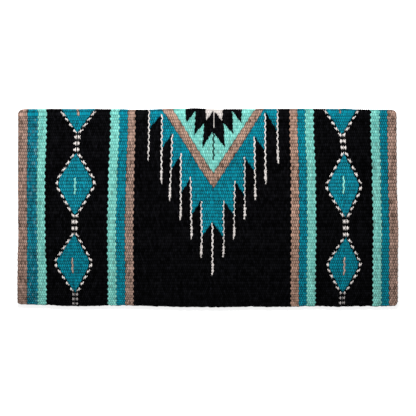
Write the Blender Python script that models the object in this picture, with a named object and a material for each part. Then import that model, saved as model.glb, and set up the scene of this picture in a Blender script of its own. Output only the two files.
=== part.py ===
# Folded saddle blanket of weft-faced wool, lying flat with the spine fold away from the viewer.
#
# X runs along the spine, +Y points from the hems to the spine fold, +Z is up.
# The back half lies on the ground, the front half lies on it, and the spine turn joins them.
# Each half has three layers: the wefts of the outer face, one piece for each area of yarn colour,
# the warp, and the wefts of the inner face. The back half mirrors the front one.
# All lengths are in metres.

import math

import bmesh
import bpy
from mathutils import Matrix, Vector

# The cloth
SPINE_LENGTH = 0.880
FOLDED_DROP = 0.4586
WEFT_YARN = 0.0025
WARP_YARN = 0.0030
RIB_PITCH = 0.00712
HEM_CORNER_RADIUS = 0.0105
SEAT_GAP = 0.0003
CUT_OVERRUN = 0.002

# Width of each lengthwise band of the left side, from the edge inwards
LEFT_OUTER_TAUPE = 0.0224
LEFT_OUTER_TEAL = 0.0234
LEFT_OUTER_MINT = 0.0195
LEFT_GROUND = 0.1452
LEFT_INNER_MINT = 0.0204
LEFT_INNER_TEAL = 0.0206
LEFT_INNER_TAUPE = 0.0185

# Width of each lengthwise band of the right side, from the edge inwards
RIGHT_OUTER_TAUPE = 0.0210
RIGHT_OUTER_TEAL = 0.0171
RIGHT_OUTER_MINT = 0.0204
RIGHT_GROUND = 0.1317
RIGHT_INNER_MINT = 0.0205
RIGHT_INNER_TEAL = 0.0181
RIGHT_INNER_TAUPE = 0.0187

# Diamond chains. Depths are measured from the spine fold towards the hem
FOLD_DIAMOND_HALF_WIDTH = 0.0352
FOLD_DIAMOND_TIP = 0.0567
UPPER_DIAMOND_CENTRE = 0.1740
UPPER_DIAMOND_HALF_WIDTH = 0.0386
UPPER_DIAMOND_HALF_HEIGHT = 0.0710
LOWER_DIAMOND_CENTRE = 0.3580
LOWER_DIAMOND_HALF_WIDTH = 0.0360
LOWER_DIAMOND_HALF_HEIGHT = 0.0630

# Stepped centre diamond
TOOTH_PITCH = 0.0240
OUTER_TOOTH_PITCH = 0.0293
TEETH_EACH_SIDE = 6
CENTRE_NOTCH_DEPTH = 0.2617
NOTCH_STEP = 0.0500
TOOTH_DROP = 0.0352

# Chevron, mint field and the figure in its middle
CHEVRON_HALF_WIDTH = 0.1149
CHEVRON_TIP = 0.1850
CHEVRON_BAND = 0.0206
FIGURE_TEETH = 3
FIGURE_INNER_TIP = 0.0254
FIGURE_TOOTH_PITCH = 0.0190
FIGURE_TOOTH_LEAN = 0.0028
FIGURE_TIP_DEPTH = 0.0866
FIGURE_TIP_STEP = 0.0290
FIGURE_NOTCH_DEPTH = 0.0585
FIGURE_NOTCH_STEP = 0.0235
FIGURE_LINE_WIDTH = 0.0030
FIGURE_LINE_BOTTOM = 0.1160
CORE_HALF_WIDTH = 0.0199
CORE_TIP_HALF_WIDTH = 0.0167
CORE_TIP_DEPTH = 0.0269
CORE_WEDGE_DEPTH = 0.0100
CORE_LINE_WIDTH = 0.0040
CORE_LINE_BOTTOM = 0.0440

# From the spine to the first warp run of a flap, in rib pitches along the cloth
FIRST_RUN_RIBS = 1.5

# Facets of a hem corner, of the spine turn's half circle and of a warp's end loop,
# and the steps between the quarters of a warp yarn's round section
CORNER_FACETS = 4
TURN_FACETS = 10
LOOP_FACETS = 4
YARN_SECTION_STEPS = 1

# Edges that are sharper than this are kept sharp when a mesh is shaded smooth
TURN_SHARP_ANGLE = math.radians(40)
YARN_SHARP_ANGLE = math.radians(70)

# Worked out from the sizes above
CLOTH_THICKNESS = 2 * WEFT_YARN + WARP_YARN
TURN_RADIUS = CLOTH_THICKNESS + SEAT_GAP / 2
TURN_REACH = TURN_RADIUS + SEAT_GAP / 2
FLAP_LENGTH = FOLDED_DROP - TURN_REACH
WARP_RADIUS = WARP_YARN / 2 - SEAT_GAP
WARP_TURN_RADIUS = SEAT_GAP / 2 + WEFT_YARN + WARP_YARN / 2
AXIS_Y = FOLDED_DROP / 2 - TURN_REACH
AXIS_Z = CLOTH_THICKNESS + SEAT_GAP / 2
FACE_LOW = SEAT_GAP / 2
FACE_HIGH = FACE_LOW + CLOTH_THICKNESS

YARNS = {
    "taupe": (0.30, 0.21, 0.16),
    "teal": (0.005, 0.24, 0.32),
    "mint": (0.19, 0.67, 0.54),
    "black": (0.004, 0.004, 0.005),
    "white": (0.79, 0.72, 0.68),
    "undyed": (0.62, 0.56, 0.47),
}


# Helpers


def clear_scene():
    """Starts from an empty scene."""
    for item in list(bpy.data.objects):
        bpy.data.objects.remove(item)


def wool(name, yarn):
    """A matt wool finish in one yarn colour."""
    material = bpy.data.materials.new(f"{name}_wool")
    material.use_nodes = True
    shader = material.node_tree.nodes["Principled BSDF"]
    shader.inputs["Base Color"].default_value = (*YARNS[yarn], 1)
    shader.inputs["Roughness"].default_value = 0.95
    shader.inputs["Metallic"].default_value = 0
    return material


def on_cloth(outline):
    """Turns points of x and depth below the fold into a counterclockwise outline about the fold axis."""
    points = [Vector((x, TURN_REACH - depth)) for x, depth in outline]
    twice_area = sum(a.cross(b) for a, b in zip(points, points[1:] + points[:1]))
    return points if twice_area > 0 else points[::-1]


def both_sides(axis, half):
    """Mirrors the right half of an outline, listed from the fold down, about a line x = axis."""
    right = [(axis + x, depth) for x, depth in half]
    left = [(axis - x, depth) for x, depth in reversed(half) if x > 0]
    return right + left


def grown(points, by):
    """Moves every side of a counterclockwise outline outwards by the same distance."""
    result = []
    for before, here, after in zip(points[-1:] + points[:-1], points, points[1:] + points[:1]):
        into = (here - before).normalized()
        out = (after - here).normalized()
        into_normal = Vector((into.y, -into.x))
        out_normal = Vector((out.y, -out.x))
        result.append(here + (into_normal + out_normal) * by / (1 + into_normal.dot(out_normal)))
    return result


def body(name, mesh):
    """A new object in the scene."""
    item = bpy.data.objects.new(name, mesh)
    bpy.context.collection.objects.link(item)
    return item


def cutter(name, mesh):
    """A body that only cuts others."""
    item = body(name, mesh)
    item.hide_render = True
    item.display_type = "WIRE"
    return item


def cut_mesh(mesh, cutters):
    """The mesh that is left when every cutter has been taken away."""
    item = body("uncut", mesh)
    for tool in cutters:
        step = item.modifiers.new("cut", "BOOLEAN")
        step.operation = "DIFFERENCE"
        step.solver = "EXACT"
        step.object = tool
    seen = item.evaluated_get(bpy.context.evaluated_depsgraph_get())
    result = bpy.data.meshes.new_from_object(seen)
    bpy.data.objects.remove(item)
    return result


def extruded(points, direction):
    """The mesh of a flat outline in space, extruded along a direction."""
    shape = bmesh.new()
    base = shape.faces.new([shape.verts.new(p) for p in points])
    far = bmesh.ops.extrude_face_region(shape, geom=[base])["geom"]
    moved = [v for v in far if isinstance(v, bmesh.types.BMVert)]
    bmesh.ops.translate(shape, verts=moved, vec=direction)
    bmesh.ops.recalc_face_normals(shape, faces=shape.faces)
    mesh = bpy.data.meshes.new("extruded")
    shape.to_mesh(mesh)
    shape.free()
    return mesh


def slab(outline, low, high):
    """An upright plate over an outline of the cloth."""
    return extruded([(p.x, p.y, low) for p in outline], (0, 0, high - low))


def fold_axis(name):
    """An empty on the fold axis, which carries one half of the cloth."""
    item = bpy.data.objects.new(name, None)
    item.location = (0, AXIS_Y, AXIS_Z)
    bpy.context.collection.objects.link(item)
    return item


def mirrored(mesh):
    """The same mesh on the other side of the fold axis, for the back half."""
    other = mesh.copy()
    other.transform(Matrix.Diagonal((1, 1, -1, 1)))
    other.flip_normals()
    return other


# The bands of the two sides, from the edges inwards


def band_spans():
    """Where each band lies in x: {name: (low x, high x)}, and the centre ground between them."""
    spans = {}
    x = -SPINE_LENGTH / 2
    for name, width in (
        ("left_outer_taupe", LEFT_OUTER_TAUPE),
        ("left_outer_teal", LEFT_OUTER_TEAL),
        ("left_outer_mint", LEFT_OUTER_MINT),
        ("left_ground", LEFT_GROUND),
        ("left_inner_mint", LEFT_INNER_MINT),
        ("left_inner_teal", LEFT_INNER_TEAL),
        ("left_inner_taupe", LEFT_INNER_TAUPE),
    ):
        spans[name] = (x, x + width)
        x += width
    centre_from = x
    x = SPINE_LENGTH / 2
    for name, width in (
        ("right_outer_taupe", RIGHT_OUTER_TAUPE),
        ("right_outer_teal", RIGHT_OUTER_TEAL),
        ("right_outer_mint", RIGHT_OUTER_MINT),
        ("right_ground", RIGHT_GROUND),
        ("right_inner_mint", RIGHT_INNER_MINT),
        ("right_inner_teal", RIGHT_INNER_TEAL),
        ("right_inner_taupe", RIGHT_INNER_TAUPE),
    ):
        spans[name] = (x - width, x)
        x -= width
    spans["centre_ground"] = (centre_from, x)
    return spans


SPANS = band_spans()
CENTRE_X = sum(SPANS["centre_ground"]) / 2
CHAIN_X = {side: sum(SPANS[f"{side}_ground"]) / 2 for side in ("left", "right")}


def yarn_of(name):
    """The yarn that a band's name ends in."""
    last = name.rsplit("_", 1)[1]
    return last if last in YARNS else "black"


def corner_arc(centre, start, facets):
    """Points of a quarter circle about a corner's centre, in x and depth."""
    angles = [start + math.pi / 2 * i / facets for i in range(facets + 1)]
    x, depth = centre
    return [
        (x + HEM_CORNER_RADIUS * math.cos(a), depth + HEM_CORNER_RADIUS * math.sin(a))
        for a in angles
    ]


def cloth_outline(x_from, x_to):
    """The whole depth of the cloth between two places, with the hem's corners rounded at its ends."""
    edge = SPINE_LENGTH / 2
    low = FOLDED_DROP - HEM_CORNER_RADIUS
    outline = [(x_from, 0), (x_to, 0)]
    if x_to >= edge:
        outline += corner_arc((edge - HEM_CORNER_RADIUS, low), 0, CORNER_FACETS)
    else:
        outline += [(x_to, FOLDED_DROP)]
    if x_from <= -edge:
        outline += corner_arc((HEM_CORNER_RADIUS - edge, low), math.pi / 2, CORNER_FACETS)
    else:
        outline += [(x_from, FOLDED_DROP)]
    return outline


def band_outline(name):
    """A band with half a seat gap at each side where it meets another one."""
    low, high = SPANS[name]
    edge = SPINE_LENGTH / 2
    x_from = low if low <= -edge else low + SEAT_GAP / 2
    x_to = high if high >= edge else high - SEAT_GAP / 2
    return cloth_outline(x_from, x_to)


# The diamonds of the two chains


def fold_diamond(side):
    """The half diamond that comes over the fold."""
    half = [(FOLD_DIAMOND_HALF_WIDTH, 0), (0, FOLD_DIAMOND_TIP)]
    return both_sides(CHAIN_X[side], half)


def whole_diamond(side, centre, half_width, half_height):
    """One diamond of a chain."""
    half = [(0, centre - half_height), (half_width, centre), (0, centre + half_height)]
    return both_sides(CHAIN_X[side], half)


def upper_diamond(side):
    """The diamond in the upper half of the drop."""
    return whole_diamond(
        side, UPPER_DIAMOND_CENTRE, UPPER_DIAMOND_HALF_WIDTH, UPPER_DIAMOND_HALF_HEIGHT
    )


def lower_diamond(side):
    """The diamond above the hem."""
    return whole_diamond(
        side, LOWER_DIAMOND_CENTRE, LOWER_DIAMOND_HALF_WIDTH, LOWER_DIAMOND_HALF_HEIGHT
    )


# The stepped diamond in the centre


def notch_x(step):
    """How far the notch at this step lies from the centre."""
    if step < TEETH_EACH_SIDE:
        return step * TOOTH_PITCH
    return (TEETH_EACH_SIDE - 1) * TOOTH_PITCH + OUTER_TOOTH_PITCH


def stepped_diamond():
    """Teeth that step down and inwards from notch to notch."""
    half = [(notch_x(TEETH_EACH_SIDE), 0)]
    for step in range(TEETH_EACH_SIDE - 1, -1, -1):
        depth = CENTRE_NOTCH_DEPTH - step * NOTCH_STEP
        half.append((notch_x(step + 1), depth + TOOTH_DROP))
        half.append((notch_x(step), depth))
    return both_sides(CENTRE_X, half)


def chevron(inset):
    """The chevron's outer triangle, or with its band as inset the mint field inside it."""
    half_width = CHEVRON_HALF_WIDTH - inset
    tip = CHEVRON_TIP * half_width / CHEVRON_HALF_WIDTH
    return both_sides(CENTRE_X, [(half_width, 0), (0, tip)])


def figure_tip_x(tooth):
    """How far from the centre a tooth of the black figure ends."""
    return FIGURE_INNER_TIP + tooth * FIGURE_TOOTH_PITCH


def black_figure():
    """Black teeth in the mint field, and the thin line that hangs from their middle."""
    outer = FIGURE_TEETH - 1
    half = [(figure_tip_x(outer), 0)]
    for tooth in range(outer, -1, -1):
        half.append((figure_tip_x(tooth), FIGURE_TIP_DEPTH - tooth * FIGURE_TIP_STEP))
        if tooth:
            notch = figure_tip_x(tooth - 1) - FIGURE_TOOTH_LEAN
            half.append((notch, FIGURE_NOTCH_DEPTH - tooth * FIGURE_NOTCH_STEP))
    half.append((FIGURE_LINE_WIDTH / 2, FIGURE_NOTCH_DEPTH))
    half.append((FIGURE_LINE_WIDTH / 2, FIGURE_LINE_BOTTOM))
    return both_sides(CENTRE_X, half)


def white_core():
    """Two white teeth at the fold, a black wedge between them and the white line in it."""
    half = [
        (CORE_HALF_WIDTH, 0),
        (CORE_TIP_HALF_WIDTH, CORE_TIP_DEPTH),
        (CORE_LINE_WIDTH / 2, CORE_WEDGE_DEPTH),
        (CORE_LINE_WIDTH / 2, CORE_LINE_BOTTOM),
    ]
    return both_sides(CENTRE_X, half)


# The outer face of one half


def areas():
    """{name: (outline, yarn, names of the areas that are let into it)}."""
    found = {name: (band_outline(name), yarn_of(name), []) for name in SPANS}
    for side in ("left", "right"):
        diamonds = {
            f"{side}_fold_diamond": fold_diamond(side),
            f"{side}_upper_diamond": upper_diamond(side),
            f"{side}_lower_diamond": lower_diamond(side),
        }
        found[f"{side}_ground"][2].extend(diamonds)
        found.update({name: (outline, "teal", []) for name, outline in diamonds.items()})
    found["centre_ground"][2].append("stepped_diamond")
    found["stepped_diamond"] = (stepped_diamond(), "teal", ["chevron"])
    found["chevron"] = (chevron(0), "taupe", ["mint_field"])
    found["mint_field"] = (chevron(CHEVRON_BAND), "mint", ["black_figure"])
    found["black_figure"] = (black_figure(), "black", ["white_core"])
    found["white_core"] = (white_core(), "white", [])
    return found


def warp_room():
    """The space for the warp, open towards the inner face and closed along the cloth's edges."""
    edge = SPINE_LENGTH / 2
    inside = grown(on_cloth(cloth_outline(-edge, edge)), -WEFT_YARN)
    return cutter("warp_room", slab(inside, FACE_LOW, FACE_HIGH - WEFT_YARN))


def turn_room():
    """The space past the flap's end, where the spine turn begins."""
    far = SPINE_LENGTH / 2 + CUT_OVERRUN
    near = -SEAT_GAP / 2
    beyond = TURN_REACH + CUT_OVERRUN
    corners = [Vector((-far, near)), Vector((far, near)), Vector((far, beyond)), Vector((-far, beyond))]
    return cutter("turn_room", slab(corners, -CUT_OVERRUN, FACE_HIGH + CUT_OVERRUN))


def outer_face():
    """Each area's mesh, from the gap over the inner face up to the outer face."""
    found = areas()
    low = FACE_LOW + WEFT_YARN + SEAT_GAP
    shared = [turn_room(), warp_room()]
    rooms = {}
    for name in {inner for _, _, inside in found.values() for inner in inside}:
        points = grown(on_cloth(found[name][0]), SEAT_GAP)
        rooms[name] = cutter(f"{name}_room", slab(points, low - CUT_OVERRUN, FACE_HIGH + CUT_OVERRUN))
    meshes = {}
    for name, (outline, yarn, inside) in found.items():
        whole = slab(on_cloth(outline), low, FACE_HIGH)
        meshes[name] = cut_mesh(whole, [rooms[inner] for inner in inside] + shared)
        meshes[name].materials.clear()
        meshes[name].materials.append(wool(name, yarn))
    for tool in [*shared, *rooms.values()]:
        bpy.data.objects.remove(tool)
    return meshes


def inner_face():
    """The wefts of the face that lies against the other half."""
    edge = SPINE_LENGTH / 2
    whole = slab(on_cloth(cloth_outline(-edge, edge)), FACE_LOW, FACE_LOW + WEFT_YARN)
    room = turn_room()
    mesh = cut_mesh(whole, [room])
    bpy.data.objects.remove(room)
    mesh.materials.clear()
    mesh.materials.append(wool("inner_face", "black"))
    return mesh


# The warp inside the cloth


def yarn_mesh(name, path):
    """A round yarn along a path, as a mesh."""
    curve = bpy.data.curves.new(name, "CURVE")
    curve.dimensions = "3D"
    curve.bevel_depth = WARP_RADIUS
    curve.bevel_resolution = YARN_SECTION_STEPS
    curve.use_fill_caps = True
    line = curve.splines.new("POLY")
    line.points.add(len(path) - 1)
    for point, place in zip(line.points, path):
        point.co = (*place, 1)
    item = body(name, curve)
    mesh = bpy.data.meshes.new_from_object(item.evaluated_get(bpy.context.evaluated_depsgraph_get()))
    bpy.data.objects.remove(item)
    mesh.shade_smooth()
    mesh.set_sharp_from_angle(angle=YARN_SHARP_ANGLE)
    mesh.materials.clear()
    mesh.materials.append(wool(name, "undyed"))
    return mesh


def warp_reach(from_hem):
    """How far the warp's loops reach to each side, so that they stay inside a rounded hem corner."""
    straight = SPINE_LENGTH / 2 - WEFT_YARN - SEAT_GAP - WARP_RADIUS
    drop = HEM_CORNER_RADIUS - from_hem
    if drop <= 0:
        return straight
    room = HEM_CORNER_RADIUS - WEFT_YARN - SEAT_GAP - WARP_RADIUS
    return SPINE_LENGTH / 2 - HEM_CORNER_RADIUS + math.sqrt(max(room**2 - drop**2, 0))


def flap_warp():
    """The warp of one half, one run under each rib, turning back in a loop at the cloth's sides."""
    first = FIRST_RUN_RIBS * RIB_PITCH - math.pi / 2 * WARP_TURN_RADIUS
    last = FLAP_LENGTH - WEFT_YARN - SEAT_GAP - WARP_RADIUS
    count = int((last - first) / RIB_PITCH) + 1
    z = FACE_LOW + CLOTH_THICKNESS / 2
    radius = RIB_PITCH / 2
    path = []
    for run in range(count):
        side = 1 if run % 2 == 0 else -1
        y = -first - run * RIB_PITCH
        reach = warp_reach(FLAP_LENGTH + y)
        if run == 0:
            path.append((-side * reach, y, z))
        if run == count - 1:
            path.append((side * reach, y, z))
            break
        turn_x = side * (warp_reach(FLAP_LENGTH + y - RIB_PITCH) - radius)
        for i in range(LOOP_FACETS + 1):
            angle = math.pi * i / LOOP_FACETS
            x = turn_x + side * radius * math.sin(angle)
            path.append((x, y - radius + radius * math.cos(angle), z))
    return yarn_mesh("warp", path)


def turn_warp():
    """The two runs of warp in the spine turn and the loop that joins them at one side."""
    swing = RIB_PITCH / 2 / WARP_TURN_RADIUS
    end = SPINE_LENGTH / 2 - WEFT_YARN - SEAT_GAP - WARP_RADIUS
    path = [(-end, -swing)]
    for i in range(LOOP_FACETS + 1):
        angle = math.pi * i / LOOP_FACETS - math.pi / 2
        x = end + RIB_PITCH / 2 * (math.cos(angle) - 1)
        path.append((x, swing * math.sin(angle)))
    path.append((-end, swing))
    places = [
        (x, WARP_TURN_RADIUS * math.cos(a) + SEAT_GAP / 2, WARP_TURN_RADIUS * math.sin(a))
        for x, a in path
    ]
    return yarn_mesh("turn_warp", places)


# The spine turn


def round_profile(radius, x):
    """The half circle of the turn at one place in x, from its lowest point to its highest."""
    angles = [math.pi * i / TURN_FACETS - math.pi / 2 for i in range(TURN_FACETS + 1)]
    return [(x, SEAT_GAP / 2 + radius * math.cos(a), radius * math.sin(a)) for a in angles]


def round_room(radius, half_length):
    """A whole cylinder about the turn's axis, as a cutter."""
    count = 2 * TURN_FACETS
    angles = [2 * math.pi * i / count for i in range(count)]
    points = [
        (-half_length, SEAT_GAP / 2 + radius * math.cos(a), radius * math.sin(a)) for a in angles
    ]
    return cutter("round_room", extruded(points, (2 * half_length, 0, 0)))


def build_turn(carrier):
    """The wefts that go round the spine, outside and inside, and the warp between them."""
    edge = SPINE_LENGTH / 2
    core_radius = SEAT_GAP / 2 + WEFT_YARN
    core = extruded(round_profile(core_radius, -edge), (SPINE_LENGTH, 0, 0))
    whole = extruded(round_profile(TURN_RADIUS, -edge), (SPINE_LENGTH, 0, 0))
    rooms = [
        round_room(core_radius + WARP_YARN, edge - WEFT_YARN),
        round_room(core_radius + SEAT_GAP, edge + CUT_OVERRUN),
    ]
    outer = cut_mesh(whole, rooms)
    for room in rooms:
        bpy.data.objects.remove(room)
    for name, mesh in (("turn_outer_face", outer), ("turn_inner_face", core)):
        mesh.materials.clear()
        mesh.materials.append(wool(name, "black"))
        mesh.shade_smooth()
        mesh.set_sharp_from_angle(angle=TURN_SHARP_ANGLE)
        body(name, mesh).parent = carrier
    body("turn_warp", turn_warp()).parent = carrier


def main():
    """Builds both halves of the cloth and the turn between them."""
    clear_scene()
    front = fold_axis("front_half")
    back = fold_axis("back_half")
    meshes = outer_face() | {"inner_face": inner_face(), "warp": flap_warp()}
    for name, mesh in meshes.items():
        body(f"front_{name}", mesh).parent = front
        body(f"back_{name}", mirrored(mesh)).parent = back
    build_turn(back)


main()
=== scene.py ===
# %% [markdown]
# # A folded wool saddle blanket
#
# This lesson dresses a plain model of a saddle blanket until it looks hand-woven. The blanket is
# one cloth, folded in half along the horse's spine. Its weft yarns are packed so tightly that
# they hide the warp, and they bulge over it in ribs. Each bulge is as small as a grain of rice.
#
# A picture or a bump on a smooth slab could stand for the weave. But the borders of the pattern
# and the edge of the cloth would then be too straight. So every grain is real mesh here, and
# the pattern is drawn as a weaver draws it: grain by grain and rib by rib.

import math

import bpy
import numpy as np
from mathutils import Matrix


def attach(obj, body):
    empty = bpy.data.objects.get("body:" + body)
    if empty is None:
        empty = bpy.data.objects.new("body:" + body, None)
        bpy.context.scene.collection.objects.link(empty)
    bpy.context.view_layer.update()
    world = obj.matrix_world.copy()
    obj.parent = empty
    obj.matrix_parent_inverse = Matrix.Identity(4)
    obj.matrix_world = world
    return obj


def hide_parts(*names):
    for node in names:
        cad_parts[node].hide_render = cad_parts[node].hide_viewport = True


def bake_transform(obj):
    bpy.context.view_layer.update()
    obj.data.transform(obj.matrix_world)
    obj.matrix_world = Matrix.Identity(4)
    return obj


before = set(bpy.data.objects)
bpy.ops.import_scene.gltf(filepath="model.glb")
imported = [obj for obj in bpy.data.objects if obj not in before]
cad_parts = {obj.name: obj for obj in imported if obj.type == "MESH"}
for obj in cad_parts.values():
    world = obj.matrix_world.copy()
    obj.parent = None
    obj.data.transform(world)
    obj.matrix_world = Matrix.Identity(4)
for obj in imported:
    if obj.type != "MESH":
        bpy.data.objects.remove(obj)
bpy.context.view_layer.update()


def added(name, data):
    """A new object with this mesh, lamp or camera, in the scene."""
    obj = bpy.data.objects.new(name, data)
    bpy.context.scene.collection.objects.link(obj)
    return obj


# %% [markdown]
# ## The size of the cloth
#
# X runs along the fold, and the fold is at the +Y side. "Depth" is the distance from the fold
# towards the hem, as seen from above. A flap is one flat half of the cloth. Its two faces lie
# FACE_LOW and FACE_HIGH above the axis round which the blanket opens, and the other flap is its
# mirror image below the axis. The flat part starts TURN_REACH from the outside of the fold.
#
# A rib is one line of bulges over one warp. Its number counts from the fold: rib 1 is the first
# one on the flap, and ribs 0 and -1 go round the fold. A grain is one bulge of the weft.

# %% Cloth sizes
LEFT_EDGE = -0.4390
RIGHT_EDGE = 0.4395
FLAP = 0.4503
TURN_REACH = 0.0083
AXIS_Y = 0.2210
AXIS_Z = 0.00815
FACE_LOW = 0.00015
FACE_HIGH = 0.00815
FLAP_RIBS = 63
GRAIN = 0.00489


def eased(at, knots, values):
    """A line through the knots that eases in and out of each one."""
    knots, values = np.asarray(knots, float), np.asarray(values, float)
    i = np.clip(np.searchsorted(knots, at, "right") - 1, 0, len(knots) - 2)
    t = np.clip((at - knots[i]) / (knots[i + 1] - knots[i]), 0, 1)
    t = t * t * (3 - 2 * t)
    return values[i] * (1 - t) + values[i + 1] * t


# %% [markdown]
# ## Ribs of uneven width
#
# The weaver beats some passes harder than others. The ribs are narrow near the fold, wider in
# the middle and narrowest at the hem. With even ribs the pattern would come out of step with
# the photograph. So these marks say at which depth the middle of a rib lies. They were read off
# the white dashes of the diamond chains, which sit on every second rib.

# %% Rib marks
RIB_NUMBERS = [0.5, 2, 8, 14, 20, 26, 32, 38, 44, 50, 56, 62, 63.5]
RIB_DEPTHS = [
    *(TURN_REACH, 0.0209, 0.0626, 0.1070, 0.1539, 0.2017, 0.2466),
    *(0.2920, 0.3345, 0.3755, 0.4167, 0.4507, 0.4586),
]


def depth_of(rib):
    """The depth of a rib's middle, or of its borders at half numbers."""
    return np.interp(rib, RIB_NUMBERS, RIB_DEPTHS)


def rib_at(depth):
    """The rib number of a depth. A whole number is the middle of a rib."""
    return np.interp(depth, RIB_DEPTHS, RIB_NUMBERS)


# %% [markdown]
# ## Bands across the cloth
#
# The bands run from the fold to the hem. Their widths were measured on the photograph, from
# the left edge to the right one. Cutting the cloth at these widths would be the quick way. But
# a weaver can only change yarn between two grains, so each band gets a whole number of half
# grains, and its grains are made a little wider or narrower until they fill it.

# %% Bands
BANDS = [
    ("left_outer_taupe", "taupe", 0.0214),
    ("left_outer_teal", "teal", 0.0234),
    ("left_outer_mint", "mint", 0.0195),
    ("left_ground", "black", 0.1452),
    ("left_inner_mint", "mint", 0.0204),
    ("left_inner_teal", "teal", 0.0206),
    ("left_inner_taupe", "taupe", 0.0185),
    ("centre_ground", "black", 0.3625),
    ("right_inner_taupe", "taupe", 0.0187),
    ("right_inner_teal", "teal", 0.0181),
    ("right_inner_mint", "mint", 0.0205),
    ("right_ground", "black", 0.1317),
    ("right_outer_mint", "mint", 0.0204),
    ("right_outer_teal", "teal", 0.0171),
    ("right_outer_taupe", "taupe", 0.0205),
]

knot_x = [LEFT_EDGE]
knot_unit = [0.0]
for *_, band_width in BANDS:
    knot_x.append(knot_x[-1] + band_width)
    knot_unit.append(knot_unit[-1] + round(2 * band_width / GRAIN) / 2)
knot_x[-1] = RIGHT_EDGE
GRAINS = knot_unit[-1]
print(f"{GRAINS} grains across, {FLAP_RIBS} ribs on each flap")

# %% [markdown]
# Where two yarns meet, they take turns round the border. Most borders swing by a quarter of a
# grain to each side, because whole grains change colour there. Between taupe and teal the
# photograph shows a gentler swing. A border lies a part of a grain beside a whole or half
# number, so that the grains of even and odd ribs fall on different sides of it.

# %% Borders
BORDER_OFFSETS = {"gentle": 0.375, "swinging": 0.25}
borders = []
for i in range(len(BANDS) - 1):
    yarns = {BANDS[i][1], BANDS[i + 1][1]}
    kind = "gentle" if yarns == {"taupe", "teal"} else "swinging"
    borders.append((kind, knot_unit[i + 1] + BORDER_OFFSETS[kind]))
knot_unit = [0.0, *(edge for kind, edge in borders), GRAINS]
print("borders:", [kind for kind, edge in borders])

# %% [markdown]
# ## How the cloth wanders
#
# Hand weaving is never quite square. The bands wander sideways by a few millimetres on their
# way to the hem, the ribs lean towards one side of the cloth, the fold bulges a little and the
# hem rises towards the corners. All of it is small, but without it the cloth looks machined.
# Random numbers would make it uneven too, but not where the photograph shows it.
#
# Each table holds places and how far the cloth lies from square there. WANDER has a line for
# each place in WANDER_AT and a column for each of WANDER_DEPTHS. Near the fold the ribs are also
# pushed towards the hem by JOINT_SHIFT, so that the tips of the grains stay clear of the axis.

# %% Wander and bow
WANDER_DEPTHS = [0.0347, 0.1644, 0.2802, 0.3960]
WANDER_AT = [-0.440, -0.375, -0.200, -0.130, 0.130, 0.200, 0.250, 0.382, 0.440]
WANDER = [
    [-0.0004, -0.0006, -0.0004, -0.0022],
    [0.0019, -0.0019, -0.0019, 0.0016],
    [0.0052, -0.0001, -0.0036, -0.0022],
    [0.0, 0.0, 0.0, 0.0],
    [0.0, 0.0, 0.0, 0.0],
    [-0.0023, 0.0007, 0.0011, 0.0004],
    [-0.0037, 0.0012, 0.0019, 0.0007],
    [-0.0035, 0.0002, 0.0019, 0.0014],
    [-0.0010, -0.0002, 0.0026, 0.0022],
]
HEM_RISE_AT = [
    *(-0.44, -0.415, -0.365, -0.335, -0.286, -0.230, -0.193, -0.119, -0.045, 0.050, 0.105),
    *(0.140, 0.177, 0.214, 0.235, 0.262, 0.305, 0.335, 0.372, 0.409, 0.44),
]
HEM_RISE = [
    *(0.0060, 0.0052, 0.0042, 0.0018, 0.0014, 0.0031, 0.0033, 0.0014, -0.0008, -0.0009, 0.0005),
    *(-0.0005, -0.0003, 0.0010, 0.0020, 0.0014, 0.0001, 0.0012, 0.0015, 0.0011, 0.0020),
]
HEM_RISE_FROM = 0.42
FOLD_RISE_AT = [-0.43, -0.27, -0.15, -0.10, -0.035, 0.03, 0.10, 0.325, 0.372, 0.43]
FOLD_RISE = [0.0021, 0.0023, 0.0004, 0.0023, 0.0036, 0.0014, 0.0021, 0.0025, 0.0, 0.0006]
LEAN_DEPTHS = [TURN_REACH, 0.02, 0.06, 0.15, 0.29, 0.45, 0.4586]
LEFT_LEAN = [0.0060, 0.0026, 0.0028, 0.0015, 0.0002, 0.0022, 0.0]
RIGHT_LEAN = [0.0, -0.0008, -0.0026, -0.0015, -0.0003, -0.0012, 0.0]
LEAN_AT = 0.31
JOINT_SHIFT = 0.0024
JOINT_GAP = 0.0001
JOINT_HOLLOW = 0.5


def wander(x, depth):
    """How far the cloth has moved sideways at a place."""
    total = 0.0
    for i, line in enumerate(WANDER):
        near = np.interp(x, WANDER_AT, np.eye(len(WANDER_AT))[i])
        total = total + near * eased(depth, WANDER_DEPTHS, line)
    return total


def leaning(x, depth):
    """How far the ribs lie towards the hem of where RIB_DEPTHS has them."""
    left = np.interp(depth, LEAN_DEPTHS, LEFT_LEAN)
    right = np.interp(depth, LEAN_DEPTHS, RIGHT_LEAN)
    near_joint = np.interp(depth, [TURN_REACH, RIB_DEPTHS[1]], [JOINT_SHIFT, 0])
    return np.where(x < 0, left, right) * np.abs(x) / LEAN_AT + near_joint


def bowed(x, depth):
    """Where a depth goes when the ribs lean and the hem bows."""
    near_hem = eased(depth, [HEM_RISE_FROM, FLAP + TURN_REACH], [0, 1])
    return depth + leaning(x, depth) - near_hem * np.interp(x, HEM_RISE_AT, HEM_RISE)


def unit_at(x, depth):
    """The grain count, from the left edge, of a place in the finished cloth."""
    return float(np.interp(x - wander(x, depth), knot_x, knot_unit))


# %% [markdown]
# ## The stepped diamond in the middle
#
# Thirteen white lines hang from the teal diamond like rain. Each has a place at its top, a top
# and a bottom, and it leans sideways by a few millimetres on its way down. Between two of them
# the teal ends in a slanted tooth, from the top of the inner line down to the outer one. The
# last tooth on the right is longer. All lines but the first end in a drop, where they swell at
# every second rib.
#
# Widths along a rib are counted in grains. LINE_HALF is half the width of a line, and
# LINE_SWING is how far the line swings from rib to rib.

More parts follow.
